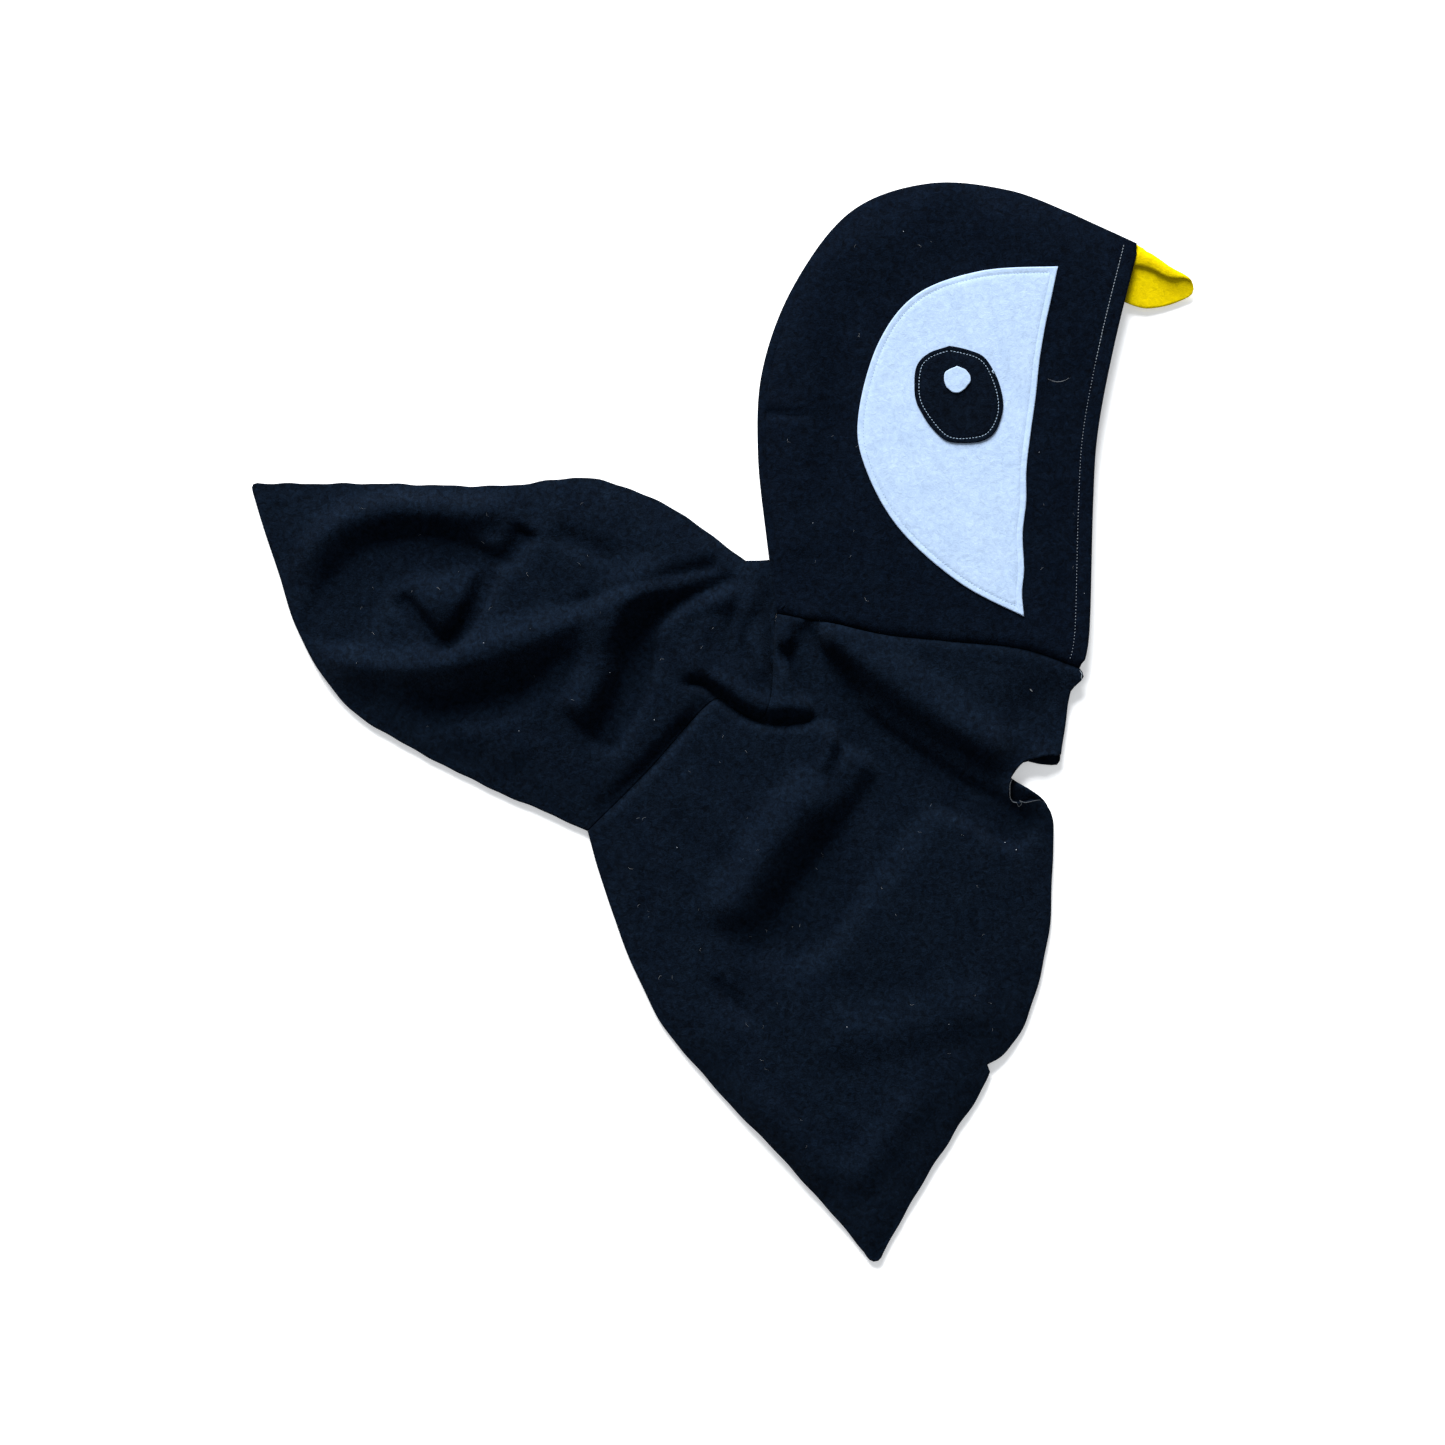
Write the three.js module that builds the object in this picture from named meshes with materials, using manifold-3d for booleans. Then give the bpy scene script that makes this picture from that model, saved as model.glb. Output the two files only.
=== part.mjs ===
// A child's hooded bird cape in wool felt, lying folded flat on its left side.
//
// Units are millimetres and +Z is up. The floor is z = 0 and the origin is under the middle of the
// cape's outline. +X points where the face looks, +Y points from the neck to the crown. Every panel
// has a right copy on top and a left copy underneath, because the cape is folded along its centre back.
import * as THREE from 'three';
import { mergeVertices } from 'three/addons/utils/BufferGeometryUtils.js';
import Module from 'manifold-3d';

const wasm = await Module();
wasm.setup();

// ---------- driving dimensions ----------
const FELT = 1.4;            // thickness of the black felt
const TRIM_FELT = 1.0;       // thickness of the white and the appliqued felt
const AIR = 0.3;             // gap between pieces that lie on each other
const SEAM_GAP = 0.4;        // gap between two panels along a sewn seam
const FLAP_GAP = 1.6;        // gap across the line where a free flap bends
const HOOD_RISE = 10;        // how far the upper hood panel stands off the lower one
const HOOD_RIM = 40;         // width of the curved rim along the crown and back
const YOKE_REACH = 110;      // how far down the cape the fullness of the neck runs out
const CENTRE_BACK_RIM = 40;  // width of the slope down to the centre back
const FLAP_RIM = 40;         // width of the slope down to a flap's bending line
const HIDDEN_SHARE = 0.985;  // size of the hidden left panels against the right ones above them
const GRID = 17;             // size of the facets in the curved panels
const FACET_CLEARANCE = 1.2;   // extra gap to a curved panel, whose facets stray from the true curve
const TALL = 100;            // height of a prism that reaches past every layer
const THREAD = 0.35;         // radius of a topstitching thread
const THREAD_STEPS = 28;     // straight lengths in each thread
const HEM = 8.4;             // width of the turned hem round the face
const PATCH_MARGIN = 4;      // from the eye patch's edge to its stitching
const PANEL_STEPS = 3;       // straight lengths between two points of a panel's outline
const TRIM_STEPS = 2;        // the same for the small eye pieces
const LINE_STEPS = 60;       // points along the seam lines that heights are measured from
const THREAD_SIDES = 4;      // sides of a thread's cross-section
const WELD = 1e-3;           // corners closer than this are one corner
const SQUARE = [[-1, -1], [1, -1], [1, 1], [-1, 1]];

// ---------- heights of the stack, from the floor up ----------
const LEFT_HIGHLIGHT_Z = 0;
const LEFT_PUPIL_Z = LEFT_HIGHLIGHT_Z + TRIM_FELT + AIR;
const LEFT_PATCH_Z = LEFT_PUPIL_Z + TRIM_FELT + AIR;
const LEFT_HOOD_Z = LEFT_PATCH_Z + TRIM_FELT + AIR;
const RIGHT_HOOD_Z = LEFT_HOOD_Z + FELT + AIR;
const RIGHT_PATCH_Z = RIGHT_HOOD_Z + HOOD_RISE + FELT + AIR;
const RIGHT_PUPIL_Z = RIGHT_PATCH_Z + TRIM_FELT + AIR;
const RIGHT_HIGHLIGHT_Z = RIGHT_PUPIL_Z + TRIM_FELT + AIR;
const LEFT_CAPE_Z = 0;
const RIGHT_CAPE_Z = LEFT_CAPE_Z + FELT + AIR;
const NECK_RISE = RIGHT_HOOD_Z + HOOD_RISE - RIGHT_CAPE_Z;

// ---------- outlines, each a few points that a smooth line runs through ----------
const NECK_BACK = [37, 74];
const NECK_FRONT = [243, 37];
const BROW = [282, 326];
const CROWN = [[30, 125], [24, 184], [27, 240], [48, 297], [87, 348], [140, 367.5], [195, 363], [238, 347]];
const FACE_EDGE = [[266, 262], [254, 200], [250.5, 150], [248, 62], NECK_FRONT];
const FACE_TOP = [277, 308];
const FACE_FOOT = [245, 46];
const NECK_SEAM = [[204, 50], [156, 55], [108, 60], [72, 68]];

const PATCH_TOP = [228, 310];
const PATCH_FOOT = [205, 72];
const PATCH_ROUND = [[161, 95], [119, 133], [96, 176], [92.5, 210], [106, 258], [132, 291], [176, 307]];
const PATCH_FRONT = [[219.5, 270], [213, 222], [206.6, 172], [204, 128], [203.6, 88]];

const PUPIL = [[154, 256], [177, 249], [188, 230], [190.5, 211], [183, 195], [169, 190], [151, 192],
  [136, 209], [130.5, 223], [132, 242], [140, 251]];
const PATCH_MIDDLE = [165, 200];
const PUPIL_CENTRE = [160.5, 223];
const PUPIL_RING = [25.5, 28.6];
const HIGHLIGHT = [[159, 242], [166, 239], [168.5, 232], [163, 225.5], [157, 224], [151, 230], [151.5, 238]];

const CAPE_CORNER = [16, 110.5];
const TAIL_TIP = [-321, 160];
const TAIL_ROOT = [-92, -74];
const WING_TIP = [103, -367.5];
const NECK_FLAP = [[246, 30], [237, 20], [230, -27], [214, -25], [205, -27]];
const FRONT_NOTCH = [197, -37.5];
const FRONT_TURN = [[218, -51], [225, -63]];
const BEHIND_HOOD = 6;
const CLOSURE_MIDDLE = [219, 2];
const CLOSURE_HALF = [9, 13];
const TAIL_BACK = [[-37, 148], [-90, 166.5], [-150, 162], [-240, 163]];
const TAIL_HEM = [[-289, 61], [-258, 13], [-212, -18], [-150, -49]];
const WING_BACK = [[-75, -132], [-44, -201], [0, -255], [50, -308]];
const WING_FRONT = [[134, -319], [158, -281], [178, -249], [182.5, -238]];
const WING_NICK = [180.5, -233];
const WING_FRONT_TOP = [[196, -222], [210, -196], [222, -150], [226, -80]];

const BEAK_ROOT_TOP = [284.5, 324];
const BEAK_ROOT_FOOT = [276, 286.5];
const BEAK_TIP = [321, 297.5];
const BEAK_HEM = [[311, 289], [294, 282.5]];
const BEAK_LIP = [[312, 302.5], [295, 308]];
const BEAK_LIP_ROOT = [282, 313];
const BEAK_LIP_TILT = THREE.MathUtils.degToRad(35);

const TAIL_HINGE = [[-17, 129], [-125, -55]];
const WING_HINGE = [[-87, -112], [202, -74]];

// ---------- colours ----------
const BLACK = new THREE.MeshStandardMaterial({ color: 0x10161f, roughness: 0.95, metalness: 0 });
const WHITE = new THREE.MeshStandardMaterial({ color: 0xcfe0f6, roughness: 0.9, metalness: 0 });
const YELLOW = new THREE.MeshStandardMaterial({ color: 0xf2d503, roughness: 0.9, metalness: 0 });
const THREAD_GREY = new THREE.MeshStandardMaterial({ color: 0xb9c2cc, roughness: 0.6, metalness: 0 });
const TAPE_BLACK = new THREE.MeshStandardMaterial({ color: 0x0a0c10, roughness: 0.8, metalness: 0 });

const cape = new THREE.Group();

// ---------- helpers ----------
function vectors(points) {
  return points.map(([x, y]) => new THREE.Vector2(x, y));
}

// A closed outline: smooth runs through lists of points, joined corner to corner.
function outline(start, ...runs) {
  const shape = new THREE.Shape();
  shape.moveTo(...start);
  for (const run of runs) {
    if (run.length === 1) shape.lineTo(...run[0]);
    else shape.splineThru(vectors(run));
  }
  return shape;
}

function extruded(shape, z, thickness, curveSegments) {
  const geometry = new THREE.ExtrudeGeometry(shape, { depth: thickness, bevelEnabled: false, curveSegments });
  geometry.translate(0, 0, z);
  return geometry;
}

// Shrinks a lower panel a little about its middle, as the hidden layer of a folded garment sits.
function shrunk(geometry, [x, y], share) {
  geometry.translate(-x, -y, 0);
  geometry.scale(share, share, 1);
  geometry.translate(x, y, 0);
  return geometry;
}

function toSolid(geometry) {
  geometry.deleteAttribute('normal');
  geometry.deleteAttribute('uv');
  const merged = mergeVertices(geometry, WELD);
  return new wasm.Manifold(new wasm.Mesh({
    numProp: 3,
    vertProperties: new Float32Array(merged.attributes.position.array),
    triVerts: new Uint32Array(merged.index.array),
  }));
}

function toGeometry(solid) {
  const mesh = solid.getMesh();
  const geometry = new THREE.BufferGeometry();
  geometry.setAttribute('position', new THREE.BufferAttribute(mesh.vertProperties, 3));
  geometry.setIndex(new THREE.BufferAttribute(mesh.triVerts, 1));
  geometry.computeVertexNormals();
  return geometry;
}

function addPiece(name, geometry, material) {
  const mesh = new THREE.Mesh(geometry, material);
  mesh.name = name;
  cape.add(mesh);
}

// The part of a solid on the left of the line from a to b, less a gap along the line.
function leftOf(solid, [a, b], gap) {
  const size = 1000;
  const along = new THREE.Vector2(b[0] - a[0], b[1] - a[1]);
  const block = new THREE.BoxGeometry(size, size, size);
  block.translate(0, size / 2 + gap, 0);
  block.rotateZ(along.angle());
  block.translate(a[0], a[1], 0);
  return solid.intersect(toSolid(block));
}

function reversed(list) {
  return [...list].reverse();
}

// How far a point is from the straight line through a and b.
function distanceBeside([a, b], x, y) {
  const across = (b[0] - a[0]) * (y - a[1]) - (b[1] - a[1]) * (x - a[0]);
  return Math.abs(across) / Math.hypot(b[0] - a[0], b[1] - a[1]);
}

// How far a point is from the nearest of the points that follow a curved line.
function distanceTo(line, x, y) {
  const point = new THREE.Vector2(x, y);
  return Math.min(...line.map((onLine) => onLine.distanceTo(point)));
}

// A felt slab whose underside follows height(x, y), before it is cut to its outline.
function slab(box, height) {
  const size = box.getSize(new THREE.Vector2()).addScalar(2 * GRID);
  const middle = box.getCenter(new THREE.Vector2());
  const cells = size.clone().divideScalar(GRID).ceil();
  const geometry = new THREE.BoxGeometry(size.x, size.y, FELT, cells.x, cells.y, 1);
  geometry.translate(middle.x, middle.y, FELT / 2);
  const position = geometry.attributes.position;
  for (let i = 0; i < position.count; i += 1) {
    position.setZ(i, position.getZ(i) + height(position.getX(i), position.getY(i)));
  }
  return toSolid(geometry);
}

function boxOf(solid) {
  const { min, max } = solid.boundingBox();
  return new THREE.Box2(new THREE.Vector2(min[0], min[1]), new THREE.Vector2(max[0], max[1]));
}

// A prism cut out of a curved slab: the panel's outline seen from above, with the slab's heights.
function curvedPanel(prism, height) {
  return prism.intersect(slab(boxOf(prism), height));
}

// ---------- hood ----------
const hoodShape = outline(NECK_BACK, CROWN, [BROW], FACE_EDGE, NECK_SEAM, [NECK_BACK]);
const crownLine = new THREE.SplineCurve(vectors([NECK_BACK, ...CROWN, BROW])).getPoints(LINE_STEPS);
const HOOD_MIDDLE = [150, 200];

function hoodHeight(x, y) {
  return RIGHT_HOOD_Z + HOOD_RISE * THREE.MathUtils.smoothstep(distanceTo(crownLine, x, y), 0, HOOD_RIM);
}

function addHood() {
  const prism = toSolid(extruded(hoodShape, -TALL / 2, TALL, PANEL_STEPS));
  addPiece('hood_side_right', toGeometry(curvedPanel(prism, hoodHeight)), BLACK);
  const left = extruded(hoodShape, LEFT_HOOD_Z, FELT, PANEL_STEPS);
  addPiece('hood_side_left', shrunk(left, HOOD_MIDDLE, HIDDEN_SHARE), BLACK);
}

// ---------- eyes ----------
const patchShape = outline(PATCH_FOOT, PATCH_ROUND, [PATCH_TOP], PATCH_FRONT, [PATCH_FOOT]);
const pupilShape = outline(PUPIL[0], [...PUPIL.slice(1), PUPIL[0]]);
const highlightShape = outline(HIGHLIGHT[0], [...HIGHLIGHT.slice(1), HIGHLIGHT[0]]);

function addEye(side, patchZ, pupilZ, highlightZ) {
  addPiece(`eye_patch_${side}`, extruded(patchShape, patchZ, TRIM_FELT, PANEL_STEPS), WHITE);
  addPiece(`pupil_${side}`, extruded(pupilShape, pupilZ, TRIM_FELT, TRIM_STEPS), BLACK);
  addPiece(`eye_highlight_${side}`, extruded(highlightShape, highlightZ, TRIM_FELT, TRIM_STEPS), WHITE);
}

// ---------- cape: yokes on the body of the garment, and the free wing and tail flaps ----------
const neckLine = new THREE.SplineCurve(vectors([NECK_FRONT, ...NECK_SEAM, NECK_BACK])).getPoints(LINE_STEPS);
const backLine = new THREE.SplineCurve(vectors([NECK_BACK, CAPE_CORNER, ...TAIL_BACK])).getPoints(LINE_STEPS);
const CAPE_MIDDLE = [-20, -50];
const TAIL_SEAM = [TAIL_ROOT, [35, 66]];

// The fullness of the neck runs out before the bending lines of the flaps, which lie flat.
function capeHeight(x, y) {
  const fromNeck = 1 - THREE.MathUtils.smoothstep(distanceTo(neckLine, x, y), 0, YOKE_REACH);
  const fromBack = THREE.MathUtils.smoothstep(distanceTo(backLine, x, y), 0, CENTRE_BACK_RIM);
  const fromTail = THREE.MathUtils.smoothstep(distanceBeside(TAIL_HINGE, x, y), 0, FLAP_RIM);
  const fromWing = THREE.MathUtils.smoothstep(distanceBeside(WING_HINGE, x, y), 0, FLAP_RIM);
  return RIGHT_CAPE_Z + NECK_RISE * fromNeck * fromBack * fromTail * fromWing;
}

function capeOutline() {
  const [neckX, neckY] = NECK_BACK;
  const [frontX, frontY] = NECK_FRONT;
  const underHood = [neckX - SEAM_GAP, neckY - SEAM_GAP];
  const underNeck = NECK_SEAM.map(([x, y]) => [x, y - SEAM_GAP]).reverse();
  return outline(
    underHood, [...underNeck, [frontX, frontY - SEAM_GAP]],
    ...NECK_FLAP.map((corner) => [corner]), [FRONT_NOTCH], ...FRONT_TURN.map((corner) => [corner]),
    reversed(WING_FRONT_TOP), [WING_NICK], reversed(WING_FRONT), [WING_TIP], [...reversed(WING_BACK), TAIL_ROOT],
    reversed(TAIL_HEM), [TAIL_TIP], reversed(TAIL_BACK), [CAPE_CORNER],
    [[NECK_BACK[0] - SEAM_GAP - BEHIND_HOOD, CAPE_CORNER[1]]], [underHood],
  );
}

// One layer of the cape, cut into its yokes and flaps. A layer with no height function lies flat at z.
function addCapeLayer(side, z, share, height) {
  const flat = toSolid(shrunk(extruded(capeOutline(), z, FELT, PANEL_STEPS), CAPE_MIDDLE, share));
  const tall = toSolid(shrunk(extruded(capeOutline(), -TALL / 2, TALL, PANEL_STEPS), CAPE_MIDDLE, share));
  const body = (cut) => toGeometry(height ? curvedPanel(cut(tall), height) : cut(flat));
  const tailSide = (solid) => leftOf(solid, TAIL_SEAM, SEAM_GAP / 2);
  const wingSide = (solid) => leftOf(solid, reversed(TAIL_SEAM), SEAM_GAP / 2);
  const rootOf = (solid, hinge) => leftOf(solid, hinge, FLAP_GAP / 2);
  const flapOf = (solid, hinge) => leftOf(solid, reversed(hinge), FLAP_GAP / 2);

  addPiece(`tail_yoke_${side}`, body((solid) => rootOf(tailSide(solid), TAIL_HINGE)), BLACK);
  addPiece(`cape_yoke_${side}`, body((solid) => rootOf(wingSide(solid), WING_HINGE)), BLACK);
  addPiece(`tail_${side}`, toGeometry(flapOf(tailSide(flat), TAIL_HINGE)), BLACK);
  addPiece(`wing_${side}`, toGeometry(flapOf(wingSide(flat), WING_HINGE)), BLACK);
}

// ---------- beak: one leaf of felt, folded along its back, open towards the mouth ----------
function addBeak() {
  const lower = extruded(
    outline(BEAK_ROOT_TOP, [BEAK_TIP], [...BEAK_HEM, BEAK_ROOT_FOOT], [BEAK_ROOT_TOP]),
    LEFT_HOOD_Z, FELT, PANEL_STEPS,
  );
  const lip = extruded(
    outline(BEAK_ROOT_TOP, [BEAK_TIP], [...BEAK_LIP, BEAK_LIP_ROOT], [BEAK_ROOT_TOP]),
    LEFT_HOOD_Z, FELT, PANEL_STEPS,
  );
  const position = lip.attributes.position;
  for (let i = 0; i < position.count; i += 1) {
    const across = distanceBeside([BEAK_ROOT_TOP, BEAK_TIP], position.getX(i), position.getY(i));
    position.setZ(i, position.getZ(i) + across * Math.tan(BEAK_LIP_TILT));
  }
  addPiece('beak', toGeometry(toSolid(lower).add(toSolid(lip))), YELLOW);
}

// ---------- closure under the chin: hook tape on one front corner, loop tape on the other ----------
function addClosure() {
  const tape = new THREE.Shape(vectors(SQUARE.map(([x, y]) => (
    [CLOSURE_MIDDLE[0] + x * CLOSURE_HALF[0], CLOSURE_MIDDLE[1] + y * CLOSURE_HALF[1]]))));
  const below = FELT + AIR + FACET_CLEARANCE;
  const hook = toSolid(extruded(tape, -TALL / 2, TALL, 1));
  const hookHeight = (x, y) => capeHeight(x, y) - below;
  addPiece('closure_hook_tape', toGeometry(curvedPanel(hook, hookHeight)), TAPE_BLACK);
  addPiece('closure_loop_tape', extruded(tape, RIGHT_CAPE_Z, FELT, 1), TAPE_BLACK);
}

// ---------- topstitching threads ----------
function threadAlong(points, height) {
  const path = new THREE.CatmullRomCurve3(points.map(([x, y]) => new THREE.Vector3(x, y, height(x, y))));
  const section = new THREE.Shape(vectors(SQUARE).map((corner) => corner.multiplyScalar(THREAD)));
  return new THREE.ExtrudeGeometry(section, { steps: THREAD_STEPS, bevelEnabled: false, extrudePath: path });
}

function threadRing([x, y], [halfWidth, halfHeight], z) {
  const ring = new THREE.TorusGeometry(1, THREAD / halfWidth, THREAD_SIDES, THREAD_STEPS);
  ring.scale(halfWidth, halfHeight, halfWidth);
  ring.translate(x, y, z);
  return ring;
}

function towards([x, y], [toX, toY], step) {
  const whole = Math.hypot(toX - x, toY - y);
  return [x + (toX - x) * step / whole, y + (toY - y) * step / whole];
}

// sign is +1 for threads on top of the right side and -1 for threads under the left side.
function addThreads(side, sign, hood, patchZ, pupilZ) {
  const face = [FACE_TOP, ...FACE_EDGE.slice(0, -1), FACE_FOOT].map(([x, y]) => [x - HEM, y]);
  const proud = sign * (AIR + THREAD);
  addPiece(`face_hem_stitch_${side}`, threadAlong(face, (x, y) => hood(x, y) + proud), THREAD_GREY);
  const round = [PATCH_FOOT, ...PATCH_ROUND, PATCH_TOP].map((point) => towards(point, PATCH_MIDDLE, PATCH_MARGIN));
  addPiece(`patch_stitch_${side}`, threadAlong(round, () => patchZ + proud), THREAD_GREY);
  addPiece(`pupil_stitch_${side}`, threadRing(PUPIL_CENTRE, PUPIL_RING, pupilZ + proud), THREAD_GREY);
}

addHood();
addEye('right', RIGHT_PATCH_Z, RIGHT_PUPIL_Z, RIGHT_HIGHLIGHT_Z);
addEye('left', LEFT_PATCH_Z, LEFT_PUPIL_Z, LEFT_HIGHLIGHT_Z);
addCapeLayer('right', RIGHT_CAPE_Z, 1, capeHeight);
addCapeLayer('left', LEFT_CAPE_Z, HIDDEN_SHARE, null);
addBeak();
addClosure();
const topOfHood = (x, y) => hoodHeight(x, y) + FELT + 2 * FACET_CLEARANCE;
addThreads('right', 1, topOfHood, RIGHT_PATCH_Z + TRIM_FELT, RIGHT_PUPIL_Z + TRIM_FELT);
addThreads('left', -1, () => LEFT_HOOD_Z, LEFT_PATCH_Z, LEFT_PUPIL_Z);

export default cape;
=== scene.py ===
"""A child's felt bird cape, folded flat on its left side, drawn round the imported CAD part.

Lengths in the geometry sections are millimetres, as in the CAD part, and MM turns them into metres.
x runs the way the face looks, y from the neck to the crown, z up from the floor through the layers.
"""
import math
import random

import bmesh
import bpy
import numpy as np
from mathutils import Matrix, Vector, geometry


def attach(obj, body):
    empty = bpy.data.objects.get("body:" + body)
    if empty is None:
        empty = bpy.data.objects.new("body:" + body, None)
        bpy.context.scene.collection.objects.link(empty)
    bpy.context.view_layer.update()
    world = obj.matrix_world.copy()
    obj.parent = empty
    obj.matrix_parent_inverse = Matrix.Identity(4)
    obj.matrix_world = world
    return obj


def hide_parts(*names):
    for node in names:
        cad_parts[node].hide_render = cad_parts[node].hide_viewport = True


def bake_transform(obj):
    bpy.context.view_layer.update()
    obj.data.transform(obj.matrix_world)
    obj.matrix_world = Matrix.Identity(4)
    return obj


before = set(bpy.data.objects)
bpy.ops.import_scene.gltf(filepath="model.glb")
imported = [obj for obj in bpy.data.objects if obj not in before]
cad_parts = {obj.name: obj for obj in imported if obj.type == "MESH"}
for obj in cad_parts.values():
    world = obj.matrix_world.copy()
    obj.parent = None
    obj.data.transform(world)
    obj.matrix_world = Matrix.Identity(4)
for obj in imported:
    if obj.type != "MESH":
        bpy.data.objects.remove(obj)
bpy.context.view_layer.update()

MM = 0.001

# ---------- felt and thread ----------
FELT = 1.4             # thickness of the black and yellow felt
TRIM = 1.0             # thickness of the appliqued felt
TOUCH = 0.04           # air between two pieces of cloth that lie on each other
PITCH = 3.2            # size of the facets in a panel
TRIM_PITCH = 2.4       # size of the facets in an applique
LOW_PITCH = 5          # size of the facets in the flat panels underneath
STITCH = 2.2           # from one stitch to the next
THREAD = 0.2           # radius of a topstitching thread
HEM = 8.4              # width of the turned hem round the face
FOLD = 1.0             # radius that the hem is turned over
SEAM_GAP = 0.03        # half of the gap between two panels along a seam

# ---------- outlines, the same driving points as the CAD part ----------
NECK_BACK = (37, 74)
NECK_FRONT = (243, 37)
BROW = (282, 326)
CROWN = [(30, 125), (24, 184), (27, 240), (48, 297), (87, 348), (140, 367.5), (195, 363), (238, 347)]
FACE_EDGE = [(266, 262), (254, 200), (250.5, 150), (248, 62), NECK_FRONT]
NECK_SEAM = [(204, 50), (156, 55), (108, 60), (72, 68)]

PATCH_TOP = (228, 310)
PATCH_FOOT = (205, 72)
PATCH_ROUND = [(161, 95), (119, 133), (96, 176), (92.5, 210), (106, 258), (132, 291), (176, 307)]
PATCH_FRONT = [(223, 286), (219.5, 270), (215.5, 246), (213, 222), (209.4, 196), (206.6, 172), (206.4, 150),
               (204, 128), (205, 104), (203.6, 88)]

PUPIL = [(154, 256), (177, 249), (188, 230), (190.5, 211), (183, 195), (169, 190), (151, 192),
         (136, 209), (130.5, 223), (132, 242), (140, 251)]
HIGHLIGHT = [(159, 242), (166, 239), (168.5, 232), (163, 225.5), (157, 224), (151, 230), (151.5, 238)]

CAPE_CORNER = (16, 110.5)
TAIL_TIP = (-321.2, 160)
TAIL_TIP_ROUND = [(-317, 163.8), (-320, 163), TAIL_TIP, (-320.4, 156.5), (-318.6, 151)]
TAIL_ROOT = (-92, -74)
WING_TIP = (103, -367.5)
WING_TIP_ROUND = [(96.5, -361), (99.5, -365.6), WING_TIP, (107, -366), (109.5, -361.5)]
FRONT_NOTCH = (197, -37.5)
TAIL_BACK = [(-37, 148), (-90, 166.5), (-150, 162), (-240, 163)]
TAIL_HEM = [(-304, 104), (-289, 61), (-258, 13), (-212, -18), (-150, -49)]
WING_BACK = [(-75, -132), (-44, -201), (0, -255), (50, -308)]
WING_FRONT = [(134, -319), (158, -281), (178, -249), (182.5, -238)]
WING_NICK = (180.5, -233)
WING_FRONT_TOP = [(196, -222), (210, -196), (222, -150), (226, -80)]
TAIL_SEAM = [TAIL_ROOT, (-50, -32), (-8, 14), (8, 9), (24, 2), (32, 14), (34.5, 40), (36, 70)]

TAIL_HINGE = [(-17, 129), (-125, -55)]
WING_HINGE = [(-87, -112), (202, -74)]
BEND = 60              # how far past its hinge a flap goes on bending

# ---------- heights of the middle of each layer ----------
FLOOR_LAYER = FELT / 2 + 0.05
UPPER_EDGE = FLOOR_LAYER + FELT + 0.2
HOOD_TOP = 10.5
HOOD_RIM = 38          # how far in from the crown seam the hood goes on rising
BROW_LIFT = 6.2        # how far its edge is lifted at the beak
NAPE = (34, 92)        # where the hood lies over the cape's centre back
NAPE_LIFT = 1.7
BACK_STITCH = 6        # from the back seam to the line pressed in beside it
PRESSED = 0.9          # width of a line pressed in by stitching
TOP_SOFT = 24          # above this the folds of the cape flatten off
TOP_ROOM = 2.5         # and rise by no more than this
FLOOR_SOFT = 1.6       # how sharply a fold stops at the layer under it
FULLNESS = 1.7         # how much deeper the folds of the cape are than the amounts written for them


# ==================== lines ====================
def smooth(knots, steps=10):
    """A Catmull-Rom curve through the knots."""
    knots = np.array(knots, float)
    padded = np.vstack([knots[:1], knots, knots[-1:]])
    t = np.linspace(0, 1, steps, endpoint=False)[:, None]
    spans = []
    for a, b, c, d in zip(padded, padded[1:], padded[2:], padded[3:]):
        v0, v1 = (c - a) / 2, (d - b) / 2
        spans.append((2 * b - 2 * c + v0 + v1) * t**3 + (-3 * b + 3 * c - 2 * v0 - v1) * t**2 + v0 * t + b)
    return np.vstack([*spans, knots[-1:]])


def lengths(line):
    """How far along a line each of its points lies."""
    return np.concatenate([[0], np.cumsum(np.linalg.norm(np.diff(line, axis=0), axis=1))])


def spread(line, count):
    """That many points, evenly spaced along a line."""
    reach = lengths(line)
    at = np.linspace(0, reach[-1], count)
    return np.stack([np.interp(at, reach, line[:, k]) for k in range(line.shape[1])], axis=1)


def even(line, pitch):
    """The line again, in equal steps of about the pitch."""
    line = np.array(line, float)
    return spread(line, max(1, round(lengths(line)[-1] / pitch)) + 1)


def unit(vectors):
    """The vectors, each made 1 long."""
    return vectors / np.linalg.norm(vectors, axis=-1, keepdims=True)


def let_out(line, amount):
    """The line moved to its left."""
    step = unit(np.gradient(line, axis=0))
    return line + amount * np.stack([-step[:, 1], step[:, 0]], axis=1)


def inset(ring, amount):
    """The ring moved inwards; it runs anticlockwise."""
    along = unit(np.roll(ring, -1, axis=0) - np.roll(ring, 1, axis=0))
    return ring + amount * np.stack([-along[:, 1], along[:, 0]], axis=1)


def looped(ring):
    """The ring as an open line that ends where it began."""
    return np.vstack([ring, ring[:1]])


def outline(start, *runs, pitch=PITCH):
    """A closed outline: a run of one point is a straight side, a longer one is a smooth curve."""
    line = np.array([start], float)
    for run in runs:
        knots = np.vstack([line[-1], run])
        curve = knots if len(run) == 1 else smooth(knots)
        line = np.vstack([line, even(curve, pitch)[1:]])
    return line[:-1]


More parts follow.
